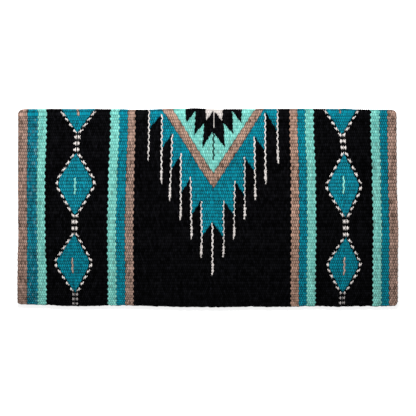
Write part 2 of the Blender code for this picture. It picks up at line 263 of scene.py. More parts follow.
# %% White lines
RAIN = [
    (-0.1353, 0.0000, 0.1227, -0.0017),
    (-0.1050, 0.0107, 0.1702, -0.0023),
    (-0.0817, 0.0565, 0.2154, -0.0058),
    (-0.0616, 0.1051, 0.2585, -0.0006),
    (-0.0393, 0.1598, 0.2999, 0.0024),
    (-0.0147, 0.2112, 0.3472, 0.0006),
    (0.0109, 0.2617, 0.3884, 0.0010),
    (0.0374, 0.2112, 0.3472, -0.0003),
    (0.0632, 0.1658, 0.3011, -0.0020),
    (0.0861, 0.1112, 0.2585, 0.0005),
    (0.1089, 0.0625, 0.2154, 0.0025),
    (0.1338, 0.0046, 0.1732, 0.0007),
    (0.1630, 0.0000, 0.1274, -0.0008),
]
TOOTH_DROP = 0.0350
LAST_TOOTH_DROP = 0.0475
LINE_HALF = 0.27
LINE_SWING = 0.25
LINE_END = 0.6
DROP_HALF = 0.62
DROP_NARROW = 0.40
DROP_TAPER = 0.12
DROP_RIBS = 3
LINES_WITHOUT_DROP = [0]


def drift(depth, top, bottom, lean):
    """How far a line has drifted sideways at a depth."""
    return lean * np.clip((depth - top) / (bottom - top), 0, 1)


def stepped(x, depth):
    """True inside the teal stepped diamond."""
    found = np.zeros(x.shape, bool)
    middle = len(RAIN) // 2
    for i in range(len(RAIN) - 1):
        a, b = RAIN[i], RAIN[i + 1]
        inner, outer = (b, a) if i < middle else (a, b)
        inner_x = inner[0] + drift(depth, *inner[1:])
        outer_x = outer[0] + drift(depth, *outer[1:])
        share = (inner_x - x) / (inner_x - outer_x)
        drop = LAST_TOOTH_DROP if i == len(RAIN) - 2 else TOOTH_DROP
        found |= (share >= 0) & (share <= 1) & (depth < inner[1] + drop * share)
    return found


# %% [markdown]
# ## The chevron and the figure in it
#
# These shapes are outlines that come over the fold and end in points, as x and depth in metres.
# A filled curve would have the shape, but it wouldn't say which grains lie in it. That takes a
# test: a place is inside an outline if a line from it crosses the outline an odd number of
# times. A thin line hangs below the figure and one below the core: place, top and bottom.

# %% Outlines
PATTERN_START = 0.0010
OUTLINES = {
    "chevron": [
        *((-0.1051, 0), (-0.0455, 0.0900), (-0.0215, 0.1310)),
        *((0.0140, 0.1825), (0.0834, 0.0750), (0.1302, 0)),
    ],
    "mint_field": [(-0.0801, 0), (-0.0179, 0.1000), (0.0133, 0.1474), (0.1098, 0)],
    "black_figure": [
        *((-0.0508, 0), (-0.0496, 0.0305), (-0.0273, 0.0036), (-0.0310, 0.0588)),
        *((-0.0072, 0.0319), (-0.0122, 0.0895), (0.0120, 0.0508), (0.0401, 0.0878)),
        *((0.0376, 0.0319), (0.0590, 0.0560), (0.0577, 0.0036), (0.0778, 0.0312), (0.0799, 0)),
    ],
    "white_core": [
        *((-0.0047, 0), (-0.0024, 0.0255), (0.0145, 0.0019), (0.0336, 0.0269), (0.0357, 0)),
    ],
}
FIGURE_LINE = (0.0142, 0.0533, 0.1158)
FIGURE_LINE_HALF = 0.36
CORE_LINE = (0.0145, 0.0, 0.0410)
CORE_LINE_HALF = 0.0014
BEYOND_FOLD = -0.1


def inside(outline, x, depth):
    """True where a place is inside the outline, which is carried on beyond the fold."""
    first, last = outline[0], outline[-1]
    ring = [(first[0], BEYOND_FOLD), *outline, (last[0], BEYOND_FOLD)]
    found = np.zeros(x.shape, bool)
    for (x0, d0), (x1, d1) in zip(ring, ring[1:] + ring[:1]):
        if d0 == d1:
            continue
        crossing = (d0 > depth) != (d1 > depth)
        found ^= crossing & (x < x0 + (depth - d0) / (d1 - d0) * (x1 - x0))
    return found


# %% [markdown]
# ## The diamond chains
#
# Each chain is a middle line with a half-width that grows and shrinks with the depth. It is
# teal inside. Its border is a row of checks, white on every second rib and black on the others,
# and the white meets in the necks between the diamonds. A check leans with the edge of its
# diamond. The marks inside the diamonds are short lines: area, place, top, bottom and half the
# width in grains.

# %% Chains
CHAIN_BORDER = 0.0078
CHECK_SHARE = 0.72
CHECK_SLANT = 0.16
CHECK_SHIFT = 0.0012
NECK_GAP = 0.0010
MARK_SWING = 0.20
LOW_CHECKS_FROM = 0.4250
CHAINS = {
    "left": {
        "depth": [
            *(0, 0.0549, 0.1007, 0.1611, 0.1739, 0.1820, 0.2463, 0.2883, 0.3499, 0.3638),
            *(0.4120, 0.4238),
        ],
        "middle": [
            *(-0.3002, -0.3018, -0.3047, -0.3062, -0.3064, -0.3066),
            *(-0.3078, -0.3087, -0.3117, -0.3112, -0.3079, -0.3070),
        ],
        "half": [0.0380, 0, 0, 0.0380, 0.0396, 0.0375, 0, 0, 0.0375, 0.0361, 0.0082, 0],
        "marks": [
            ("taupe_marks", -0.2999, 0.0, 0.0150, 0.62),
            ("taupe_marks", -0.3131, 0.3425, 0.3794, 0.42),
            ("mint_mark", -0.3069, 0.1552, 0.1961, 0.42),
        ],
    },
    "right": {
        "depth": [
            *(0, 0.0592, 0.1016, 0.1715, 0.1796, 0.1878, 0.2514, 0.2957, 0.3545, 0.3672),
            *(0.4120, 0.4250, 0.4400),
        ],
        "middle": [
            *(0.3098, 0.3110, 0.3168, 0.3152, 0.3152, 0.3154),
            *(0.3200, 0.3205, 0.3162, 0.3150, 0.3134, 0.3128, 0.3108),
        ],
        "half": [0.0359, 0, 0, 0.0350, 0.0357, 0.0340, 0, 0, 0.0336, 0.0334, 0.0098, 0, 0],
        "marks": [
            ("taupe_marks", 0.3064, 0.0, 0.0115, 0.36),
            ("taupe_marks", 0.3171, 0.3453, 0.3845, 0.42),
            ("mint_mark", 0.3157, 0.1582, 0.1994, 0.42),
        ],
    },
}

# %% [markdown]
# ## The colour areas
#
# The cloth is a fine net: four columns of faces for each grain and three rows for each rib.
# Each face belongs to one area. An area has a yarn and a look. Mostly the look is the yarn's
# own, but not all skeins of a colour are dyed alike, so some areas show another dye lot.

# %% Columns of the net
COLUMNS = 4
ROWS = 3
columns = int(round(GRAINS * COLUMNS))
column_unit = np.arange(columns + 1) / COLUMNS
face_unit = (np.arange(columns) + 0.5) / COLUMNS
column_x = np.interp(column_unit, knot_unit, knot_x)
column_side = np.minimum(column_x - LEFT_EDGE, RIGHT_EDGE - column_x)
outwards = np.sign(column_x)
print(columns, "columns of faces along the fold,", FLAP_RIBS * ROWS, "rows on each flap")

# %% Areas
AREAS = {name: (yarn, yarn) for name, yarn, _ in BANDS}
AREAS["left_outer_teal"] = ("teal", "heather")
AREAS["right_inner_taupe"] = ("taupe", "fawn")
for side in CHAINS:
    for name, yarn, look in (
        ("fold_diamond", "teal", "teal"),
        ("upper_diamond", "teal", "lagoon"),
        ("lower_diamond", "teal", "teal"),
        ("checks", "white", "chalk"),
        ("low_checks", "white", "smoke"),
        ("taupe_marks", "taupe", "sand"),
        ("mint_mark", "mint", "jade"),
    ):
        AREAS[f"{side}_{name}"] = (yarn, look)
AREAS.update(
    stepped_diamond=("teal", "teal"),
    chevron=("taupe", "russet"),
    mint_field=("mint", "mint"),
    black_figure=("black", "black"),
    white_core=("white", "white"),
    white_lines=("white", "chalk"),
    white_drops=("white", "bone"),
)
AREA_NAMES = list(AREAS)
print(len(AREA_NAMES), "areas on each flap")

# %% [markdown]
# ## Painting the grains
#
# Bands and thin lines follow whole grains. Grains on the next rib are offset by half a grain,
# like bricks, and that alone makes borders scalloped and lines wavy, as on the real cloth.
#
# The cloth that these functions pass on is a dictionary of what varies from face to face: rib,
# share of the rib, x, depth, area and swing, which goes from -1 to 1 from one rib to the next.
# A face's place along the rib, in grains, is in face_unit. A line that starts at the fold also
# goes round it, up to LAST_TURN_RIB.

# %% Lines
LAST_TURN_RIB = -1


def grain_middles(unit, rib):
    """The middle of the grain that a face is in. Odd ribs are offset by half a grain."""
    return np.where(rib % 2 == 0, np.floor(unit) + 0.5, np.floor(unit + 0.5))


def fill(cloth, name, where):
    """Gives the faces where this is true to an area."""
    cloth["area"][where] = AREA_NAMES.index(name)


def thin_line(cloth, name, place, top, bottom, lean=0.0, half=LINE_HALF, swing=LINE_SWING):
    """Paints a line down the cloth. Gives its middle, in grains, and its last rib."""
    first_depth, last_depth = top + PATTERN_START, bottom + PATTERN_START
    first = round(float(rib_at(first_depth - leaning(place, first_depth))) + LINE_END)
    last = round(float(rib_at(last_depth - leaning(place, last_depth))) - LINE_END)
    if top == 0:
        first = LAST_TURN_RIB
    middle = unit_at(place, (top + bottom) / 2) + drift(cloth["depth"], top, bottom, lean) / GRAIN
    on_rib = (cloth["rib"] >= first) & (cloth["rib"] <= last)
    fill(cloth, name, on_rib & (np.abs(face_unit - middle - swing * cloth["swing"]) < half))
    return middle, last


# %% [markdown]
# The slanted edges of the figures are cut face by face and not grain by grain, because there
# the weaver turns the yarn back at every pass. What is painted later covers what is there.

# %% Figures
def paint_middle(cloth):
    """The stepped diamond and what is inside it."""
    x, depth = cloth["x"], cloth["depth"]
    fill(cloth, "stepped_diamond", stepped(x, depth))
    for name, outline in OUTLINES.items():
        fill(cloth, name, inside(outline, x, depth))
    thin_line(cloth, "black_figure", *FIGURE_LINE, half=FIGURE_LINE_HALF)
    core_x, core_top, core_bottom = CORE_LINE
    thin = np.abs(cloth["straight_x"] - core_x) < CORE_LINE_HALF
    fill(cloth, "white_core", thin & (depth > core_top) & (depth < core_bottom))


def paint_rain(cloth):
    """The white lines and their drops."""
    swollen = DROP_HALF - DROP_TAPER * np.abs(2 * cloth["share"] - 1)
    for number, rain_line in enumerate(RAIN):
        middle, last = thin_line(cloth, "white_lines", *rain_line)
        if number in LINES_WITHOUT_DROP:
            continue
        rib = cloth["rib"]
        half = np.where((last - rib) % 2 == 1, swollen, DROP_NARROW)
        in_drop = (rib >= last - DROP_RIBS) & (rib < last)
        fill(cloth, "white_drops", in_drop & (np.abs(face_unit - middle) < half))


# %% [markdown]
# A chain's checks start a little outside the teal and end a little inside the border's outer
# edge. Where the half-width stays at nothing, in a neck, they close up to a small gap.

# %% Chain painting
SLOPE_STEP = 0.001
UPPER_KNOT = 2
LOWER_KNOT = 7


def paint_chain(cloth, side, chain):
    """The checks, diamonds and marks of one chain."""
    x, depth, share = cloth["x"], cloth["depth"], cloth["share"]
    middle_x = np.interp(depth, chain["depth"], chain["middle"])
    half = np.interp(depth, chain["depth"], chain["half"])
    growing = np.interp(depth + SLOPE_STEP, chain["depth"], chain["half"]) - half
    going_out = np.where(growing > 0, share, 1 - share)
    slant = np.where(growing != 0, CHECK_SLANT * (going_out - 0.5), 0)
    inner = np.where(growing != 0, half + CHAIN_BORDER * ((1 - CHECK_SHARE) / 2 + slant), 0)
    outer = half + CHAIN_BORDER * ((1 + CHECK_SHARE) / 2 + slant)
    off = np.abs(x - middle_x - CHECK_SHIFT)
    check = (off >= np.maximum(inner, NECK_GAP)) & (off < outer) & (cloth["rib"] % 2 == 0)
    fill(cloth, f"{side}_checks", check)
    fill(cloth, f"{side}_low_checks", check & (depth >= LOW_CHECKS_FROM))
    diamond = np.abs(x - middle_x) < half
    fill(cloth, f"{side}_fold_diamond", diamond)
    fill(cloth, f"{side}_upper_diamond", diamond & (depth >= chain["depth"][UPPER_KNOT]))
    fill(cloth, f"{side}_lower_diamond", diamond & (depth >= chain["depth"][LOWER_KNOT]))
    for name, place, top, bottom, half in chain["marks"]:
        thin_line(cloth, f"{side}_{name}", place, top, bottom, half=half, swing=MARK_SWING)


# %% [markdown]
# The bands come first, because they fill the whole net. Every border that lies to the left of a
# grain adds one to its area number, so no band has to be named here. SWAY is how far slanted
# edges swing from rib to rib, in metres, and GENTLE_SWING is that of a gentle border, in grains.

# %% Whole pattern
SWAY = 0.0007
GENTLE_SWING = 0.18


def painted(rib, share, x, depth):
    """The area number of each face, from its rib, share of the rib, x and depth."""
    swing = np.cos(math.pi * (rib + share - 0.5))
    cloth = {
        "rib": rib,
        "share": share,
        "x": x + SWAY * swing,
        "straight_x": x,
        "depth": depth - PATTERN_START,
        "swing": swing,
        "area": np.zeros(x.shape, int),
    }
    middle = grain_middles(face_unit, rib)
    for kind, edge in borders:
        if kind == "swinging":
            cloth["area"] += middle > edge
        else:
            swung = edge + np.where(rib % 2 == 0, -GENTLE_SWING, GENTLE_SWING)
            cloth["area"] += face_unit > swung
    paint_middle(cloth)
    paint_rain(cloth)
    for side, chain in CHAINS.items():
        paint_chain(cloth, side, chain)
    return cloth["area"]


# %% [markdown]
# ## The relief of the weave
#
# The surface is highest in the middle of each grain and lowest between ribs, and no two grains
# are equally high. A displacement texture could do this too, but it would need far more faces
# to follow the grains than a net that is laid along them.

# %% Relief
RIB_DEPTH = 0.0015
GRAIN_DEPTH = 0.0009
SHOULDER_SHARE = 0.10
HEIGHT_SPREAD = 0.00018
SHARE_MARGIN = 0.01


def relief(rib, share, rng):
    """How far each point lies below the crest. Share goes from 0 to 1 across the rib."""
    phase = np.cos(2 * math.pi * (column_unit - np.where(rib % 2 == 0, 0.0, 0.5)))
    within = (share > SHARE_MARGIN) & (share < 1 - SHARE_MARGIN)
    across = np.where(within, SHOULDER_SHARE, 1.0)
    low = RIB_DEPTH * across
    low = low + GRAIN_DEPTH * (0.5 + 0.5 * phase) * (1 - across)
    return np.maximum(low + rng.normal(0, HEIGHT_SPREAD, low.shape), 0), phase


# %% [markdown]
# ## Rims and corners
#
# Towards the edges of the cloth both faces come together in a round rim. Where the weft turns
# back at the sides, the rim is scalloped. The two corners at the hem are rounded: points near a
# corner are pulled towards it, from a square corner onto a quarter circle.

# %% Edges
RIM = 0.0038
SCALLOP = 0.0006
CORNER = 0.0105


def rim_share(distance):
    """From 0 at the cloth's edge to 1 where it has its full thickness."""
    t = np.clip(distance / RIM, 0, 1)
    return np.sqrt(1 - (1 - t) ** 2)


def scallop(rib, share):
    """How far the side edges swing outwards: even ribs stand out, odd ones stay back."""
    return SCALLOP * np.cos(math.pi * (rib + share - 0.5)) * np.clip(1 - column_side / RIM, 0, 1)


def corner_pull(side, hem):
    """How far a point moves from the side and from the hem, and how far it then is from an edge."""
    a = np.clip(1 - side / CORNER, 0, 1)
    b = np.clip(1 - hem / CORNER, 0, 1)
    pulled_a = a * np.sqrt(1 - b * b / 2)
    pulled_b = b * np.sqrt(1 - a * a / 2)
    in_corner = (a > 0) & (b > 0)
    round_off = CORNER * (1 - np.hypot(pulled_a, pulled_b))
    distance = np.where(in_corner, round_off, np.minimum(side, hem))
    return CORNER * (a - pulled_a), CORNER * (b - pulled_b), distance


# %% [markdown]
# ## The net of one flap
#
# The borders between ribs zigzag, so that the tips of the grains lock into each other. Slow
# random lines move the ribs and columns by fractions of a millimetre, and the hem is rough.
# What changes only from rib to rib is one column of numbers, and what changes only along a rib
# is one row. Numpy spreads both over the whole net when they meet.

# %% Net helpers
def slow_noise(rng, count, spread, every):
    """A smooth random line of this many values, with a knot at every so many."""
    knots = rng.normal(0, spread, count // every + 3)
    return eased(np.arange(count) / every, np.arange(len(knots)), knots)


def middle_of(values):
    """The value in the middle of each face, from its four corners."""
    return (values[:-1, :-1] + values[1:, :-1] + values[:-1, 1:] + values[1:, 1:]) / 4


def seams(area):
    """True at the points where faces of two areas meet."""
    edged = np.pad(area, 1, mode="edge")
    corners = [edged[:-1, :-1], edged[1:, :-1], edged[:-1, 1:], edged[1:, 1:]]
    return np.any([corner != corners[0] for corner in corners], axis=0)


def point_rows(ribs):
    """For each row of points, the number of its rib, from 0, and its share of that rib."""
    row = np.arange(ribs * ROWS + 1)[:, None]
    number = np.minimum(row // ROWS, ribs - 1)
    return number, (row - number * ROWS) / ROWS


def face_rows(ribs):
    """The same for each row of faces."""
    row = np.arange(ribs * ROWS)[:, None]
    return row // ROWS, (row % ROWS + 0.5) / ROWS


# %% [markdown]
# The inner face ends in a straight line at the axis, JOINT_GAP away from it, because there the
# two flaps would touch when the blanket opens. Where the net meets the one of the turn, the
# groove between the ribs is shallower and its painted shade lighter, so that the joint doesn't
# show. Where two areas meet, the groove is deeper and its painted shade darker.

# %% Flap net
ZIGZAG = 0.0023
SEAM_DEPTH = 0.0005
RIM_WALL = 0.0006
HEM_ROUGHNESS = 0.0005
HEM_ROUGH_REACH = 0.010
RIB_SPREAD = 0.0005
RIB_EVERY = 40
COLUMN_SPREAD = 0.0003
COLUMN_EVERY = 12
MID = (FACE_LOW + FACE_HIGH) / 2


def flap_net(seed):
    """Upper and lower points of one flap in its own frame, and the area of each face."""
    rng = np.random.default_rng(seed)
    number, share = point_rows(FLAP_RIBS)
    rib = number + 1
    low, phase = relief(rib, share, rng)
    zig = ZIGZAG * phase * (1 - 2 * share)
    zig[-1] = 0
    length = depth_of(rib + share - 0.5) - TURN_REACH
    freedom = np.sin(math.pi * length / FLAP)
    along = length + zig + slow_noise(rng, columns + 1, RIB_SPREAD, RIB_EVERY) * freedom
    rough = slow_noise(rng, columns + 1, HEM_ROUGHNESS, COLUMNS)
    along = along + rough * np.clip(1 - (FLAP - length) / HEM_ROUGH_REACH, 0, 1)
    swerve = slow_noise(rng, len(rib), COLUMN_SPREAD, COLUMN_EVERY)[:, None]
    x = column_x + swerve * freedom

    from_side, from_hem, distance = corner_pull(column_side, FLAP - length)
    x = x - outwards * from_side + outwards * scallop(rib, share)
    depth = along - from_hem + TURN_REACH
    plan_x = x + wander(x, depth)
    plan_depth = bowed(plan_x, depth)

    face_number, face_share = face_rows(FLAP_RIBS)
    face_rib = face_number + 1
    area = painted(face_rib, face_share, middle_of(plan_x), middle_of(plan_depth))
    # Deeper grooves where two areas meet and a shallower one at the joint; both set the painted
    # shade in the hollows.
    low = low + SEAM_DEPTH * seams(area)
    low[0] *= JOINT_HOLLOW

    half = np.maximum((MID - FACE_LOW - low) * rim_share(distance), RIM_WALL / 2)
    y = TURN_REACH - plan_depth
    inner_y = y.copy()
    inner_y[0] = -JOINT_GAP
    return {
        "upper": np.stack([plan_x, y, MID + half], -1),
        "lower": np.stack([plan_x, inner_y, MID - half], -1),
        "low": low,
        "area": area,
        "rib": face_rib,
    }


# %% [markdown]
# ## From net to pieces
#
# In the real cloth each colour area is its own weft. So each becomes a piece that goes right
# through the cloth: its faces above, the same faces below, and a wall wherever a neighbour has
# another colour. One mesh with many materials would be simpler. But a closed piece can be
# handled on its own, and it follows the plain node that it replaces.

# %% Faces of a piece
pieces_of = {"front_half": [], "back_half": [], "turn": []}


def piece_faces(mask):
    """Faces as point numbers, the net's face that each belongs to, and how many faces are above."""
    step = mask.shape[1] + 1
    count = (mask.shape[0] + 1) * step
    i, j = np.nonzero(mask)
    a = i * step + j
    b, c, d = a + 1, a + 1 + step, a + step
    padded = np.pad(mask, 1)
    faces = [np.stack([a, d, c, b], 1), np.stack([a, b, c, d], 1) + count]
    owner = [np.arange(len(i)), np.arange(len(i))]
    neighbours = [
        (padded[i, j + 1], a, b),
        (padded[i + 1, j + 2], b, c),
        (padded[i + 2, j + 1], c, d),
        (padded[i + 1, j], d, a),
    ]
    for neighbour, p, q in neighbours:
        walled = np.nonzero(~neighbour)[0]
        p, q = p[walled], q[walled]
        faces.append(np.stack([p, q, q + count, p + count], 1))
        owner.append(walled)
    owner = np.concatenate(owner)
    return np.concatenate(faces), (i[owner], j[owner]), len(i)


# %% [markdown]
# Python lists would be slow for a million faces, so the mesh takes whole arrays at once. Its
# attributes carry what the wool needs: tone and dye of each face, and how hollow each point is,
# which sets the painted shade in the hollows.
# A mirrored piece would be inside out, so the corners of its faces are named the other way round.

# %% Mesh of a piece
def piece_mesh(name, net, mask, up):
    """A closed mesh of the faces where mask is true. Up is 1 above the fold's axis, -1 below it."""
    faces, cell, above = piece_faces(mask)
    used, index = np.unique(faces, return_inverse=True)
    index = index.reshape(-1, 4)
    both = [net["upper"].reshape(-1, 3), net["lower"].reshape(-1, 3)]
    points = np.concatenate(both)[used] * (1, 1, up) + (0, AXIS_Y, AXIS_Z)
    if up < 0:
        index = index[:, ::-1]
    mesh = bpy.data.meshes.new(name)
    mesh.vertices.add(len(points))
    mesh.vertices.foreach_set("co", points.astype(np.float32).ravel())
    mesh.loops.add(index.size)
    mesh.loops.foreach_set("vertex_index", index.astype(np.int32).ravel())
    mesh.polygons.add(len(index))
    mesh.polygons.foreach_set("loop_start", np.arange(0, index.size, 4, dtype=np.int32))
    mesh.update(calc_edges=True)
    mesh.polygons.foreach_set("use_smooth", np.arange(len(index)) < 2 * above)
    hollow = np.clip(np.tile(net["low"].ravel(), 2)[used] / RIB_DEPTH, 0, 1)
    for layer, domain, values in (
        ("tone", "FACE", net["tone"][cell]),
        ("dye", "FACE", net["dye"][cell]),
        ("hollow", "POINT", hollow),
    ):
        attribute = mesh.attributes.new(layer, "FLOAT", domain)
        attribute.data.foreach_set("value", values.astype(np.float32))
    mesh.validate()
    return added(name, mesh)


# %% [markdown]
# No two grains of wool are equally bright. Each grain gets a random tone, and each rib too. The
# dye changes slowly along a yarn, over DYE_RIBS ribs.

# %% Tones
DYE_RIBS = 6
DYE_SPREAD = 0.6
RIB_TONE = 0.15
GRAIN_TONE = 0.45


def grain_tones(net, seed):
    """Gives each grain a tone, and a dye that changes slowly along each yarn, from -1 to 1."""
    rng = np.random.default_rng(seed)
    rib = net["rib"] - net["rib"].min()
    ribs = int(rib.max()) + 1
    yarns = int(2 * GRAINS) + 3
    tone = rng.normal(0, GRAIN_TONE, (ribs, yarns)) + rng.normal(0, RIB_TONE, (ribs, 1))
    dye = np.stack([slow_noise(rng, ribs, DYE_SPREAD, DYE_RIBS) for _ in range(yarns)], 1)
    grain = (rib, np.round(2 * grain_middles(face_unit, net["rib"])).astype(int))
    net["tone"] = np.clip(tone, -1, 1)[grain]
    net["dye"] = np.clip(dye, -1, 1)[grain]


# %% [markdown]
# The front flap is the one on top. The back flap is its mirror image below the axis, with
# random numbers of its own. A piece replaces the plain node of the same name, and the ground in
# the middle also stands for the inner face, because all pieces go right through.

# %% Flaps
SEEDS = {"front": 11, "back": 12, "turn": 13}
TONE_SEED = 100
for half, up in (("front", 1), ("back", -1)):
    net = flap_net(SEEDS[half])
    grain_tones(net, SEEDS[half] + TONE_SEED)
    for number, area_name in enumerate(AREA_NAMES):
        obj = piece_mesh(f"{half}_{area_name}_weave", net, net["area"] == number, up)
        obj["yarn"], obj["look"] = AREAS[area_name]
        pieces_of[f"{half}_half"].append(obj)
        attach(obj, f"{half}_half")
        if f"{half}_{area_name}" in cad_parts:
            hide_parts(f"{half}_{area_name}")
        if area_name == "centre_ground":
            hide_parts(f"{half}_inner_face")
    total = sum(len(o.data.polygons) for o in pieces_of[f"{half}_half"])
    print(half, "half:", len(pieces_of[f"{half}_half"]), "pieces,", total, "faces")

# %% [markdown]
# ## The turn at the fold
#
# Four ribs go round the fold. They are a net of their own, bent round the axis in a half
# circle, and it is cut into one piece for each yarn. The upper and the lower end of the net
# meet the two flaps. Its inner face is straight there, so only the outer one reaches beyond
# the half circle, to the zigzag of the flap's first rib.

# %% Turn net
TURN_RIBS = 4
FLAT_END = 0.15
FOLD_CORNER = 0.017
FOLD_SPREAD = 0.0003
FOLD_EVERY = 16
TURN_YARNS = ["taupe", "teal", "mint", "black", "white"]


def turn_rib(number):
    """The rib of a row: ribs 0 and -1 of the front come first, then the same of the back."""
    return np.where(number < TURN_RIBS / 2, -number, number - (TURN_RIBS - 1))


def turn_net(seed):
    """Upper and lower points of the turn round the axis, and the yarn of each face."""
    rng = np.random.default_rng(seed)
    number, share = point_rows(TURN_RIBS)
    rib = turn_rib(number)
    low, phase = relief(rib, share, rng)
    zig = ZIGZAG * phase * (1 - 2 * share)
    zig[len(rib) // 2] = 0
    x = column_x + outwards * scallop(rib, share)
    x = x + wander(x, TURN_REACH)
    even = (number + share) / TURN_RIBS * math.pi
    lean = leaning(x, TURN_REACH - zig * np.cos(even)) / FACE_HIGH
    arc = even * (1 + 2 * lean / math.pi) - lean + zig / FACE_HIGH
    on_arc = np.clip(arc, 0, math.pi)
    on_arc[0], on_arc[-1] = 0, math.pi
    beyond = np.where(even < math.pi / 2, arc - on_arc, on_arc - arc) * FACE_HIGH
    corner = np.clip(1 - column_side / FOLD_CORNER, 0, 1)
    reach = np.maximum(np.sqrt(1 - corner**2), FLAT_END)
    rise = np.interp(column_x, FOLD_RISE_AT, FOLD_RISE) * reach
    rise = rise + slow_noise(rng, columns + 1, FOLD_SPREAD, FOLD_EVERY)

    face_number, face_share = face_rows(TURN_RIBS)
    face_rib = turn_rib(face_number)
    depth = TURN_REACH - np.sin(on_arc) * (FACE_HIGH + rise) - beyond
    area = painted(face_rib, face_share, middle_of(x), middle_of(depth))
    yarn = np.array([TURN_YARNS.index(yarn) for yarn, look in AREAS.values()])[area]
    # Deeper grooves where two yarns meet and shallower ones at the joints; both set the painted
    # shade in the hollows.
    low = low + SEAM_DEPTH * seams(yarn)
    low[[0, -1]] *= JOINT_HOLLOW
    half = np.maximum((MID - FACE_LOW - low) * rim_share(column_side), RIM_WALL / 2)

    def bent(radius, further):
        out = np.sin(on_arc) * (radius * reach + rise) + further
        return np.stack([x, out, np.cos(on_arc) * radius], -1)

    return {
        "upper": bent(MID + half, beyond),
        "lower": bent(MID - half, 0),
        "low": low,
        "area": yarn,
        "rib": face_rib,
    }


# %% [markdown]
# Each yarn of the turn becomes one piece, with its points in the scene's own frame. When the
# blanket opens, the turn would have to bend with it, and a chain of bones could do that, but
# here it stays as it is.

# %% Turn pieces
net = turn_net(SEEDS["turn"])
grain_tones(net, SEEDS["turn"] + TONE_SEED)
for number, yarn_name in enumerate(TURN_YARNS):
    obj = piece_mesh(f"turn_{yarn_name}_weave", net, net["area"] == number, 1)
    obj["yarn"] = obj["look"] = yarn_name
    pieces_of["turn"].append(obj)
    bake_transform(obj)
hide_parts("turn_outer_face", "turn_inner_face")
print("turn:", sum(len(o.data.polygons) for o in pieces_of["turn"]), "faces")

# %% [markdown]
# ## The wool
#
# A photograph of wool could be laid on the cloth. But it would repeat, and it would bring its
# own grains along. So the colour is mixed from textures that Blender computes, by one recipe
# for every yarn and dye lot. It is mottled in three ways: a random tone for each grain, soft
# cloudy patches where the dye took differently, and thin diagonal streaks of painted shade in
# the grooves of the twist of the yarn. The hollows of the weave get painted shade as well. A few
# small helpers wire the nodes together.

# %% Node helpers
def feed(tree, node, inputs):
    """Gives a node its inputs: numbers and colours are set, and sockets are linked."""
    for key, value in inputs.items():
        if isinstance(value, bpy.types.NodeSocket):
            tree.links.new(value, node.inputs[key])
        else:
            node.inputs[key].default_value = value


def node_outputs(tree, kind, inputs, **settings):
    """The outputs of a new node of this kind."""
    node = tree.nodes.new(f"ShaderNode{kind}")
    for name, value in settings.items():
        setattr(node, name, value)
    feed(tree, node, inputs)
    return node.outputs


def worked_out(tree, operation, *values):
    """The result of a Math node, from numbers and sockets."""
    return node_outputs(tree, "Math", dict(enumerate(values)), operation=operation)[0]


def sum_of(tree, *terms):
    """The sum of sockets. Each is first multiplied by its factor, and its offset is added."""
    parts = [worked_out(tree, "MULTIPLY_ADD", *term) for term in terms]
    total = parts[0]
    for part in parts[1:]:
        total = worked_out(tree, "ADD", total, part)
    return total


def mixed(tree, first, second, share):
    """A colour that goes from the first to the second while the share goes from 0 to 1."""
    inputs = {"A": first, "B": second, "Factor": share}
    return node_outputs(tree, "Mix", inputs, data_type="RGBA")["Result"]


# %% [markdown]
# The textures are laid out in the object's own space, in metres, so "every" is a real size. The
# three attributes come from the meshes.

# %% Wool patterns
TWIST_EVERY = 0.0016
WAVE_BANDS = 20
TWIST_WAVE = {"Distortion": 2.5, "Detail": 1.0, "Detail Scale": 3.0}
FIBRE_EVERY = 0.0006
FIBRE_DETAIL = 2.0
CLOUD_EVERY = 0.012
CLOUD_DETAIL = 3.0


def wool_patterns(tree):
    """What varies over the wool, each as a socket."""
    place = node_outputs(tree, "TexCoord", {})["Object"]
    wave = {"Vector": place, "Scale": 1 / (TWIST_EVERY * WAVE_BANDS), **TWIST_WAVE}
    found = {"twist": node_outputs(tree, "TexWave", wave, bands_direction="DIAGONAL")["Fac"]}
    for name, every, detail in (
        ("fibre", FIBRE_EVERY, FIBRE_DETAIL),
        ("cloud", CLOUD_EVERY, CLOUD_DETAIL),
    ):
        noise = {"Vector": place, "Scale": 1 / every, "Detail": detail}
        found[name] = node_outputs(tree, "TexNoise", noise)["Fac"]
    for name in ("tone", "dye", "hollow"):
        found[name] = node_outputs(tree, "Attribute", {}, attribute_name=name)["Fac"]
    return found


# %% [markdown]
# The clouds and the dye decide how far the colour goes to the darker second one, and the twist
# adds to that as painted shade in its grooves. A few grains, drawn by lot from their tone, have
# some of the speck's colour. Then the tone and the fibres make it brighter or darker, and the
# hollows between and round the grains are darkened as painted shade.

# %% Wool colour
CLOUD_BLEND = (0.8, -0.4)
DYE_BLEND = (0.55, 0.35)
TWIST_GROOVE_SHADE = (0.4, -0.2)
FIBRE_LIGHT = (0.30, -0.15)
LOT_FACTOR = 1000.0
SPECKED_FROM = 0.8
SPECKED_MOST = 0.7
DARKEST = 0.04


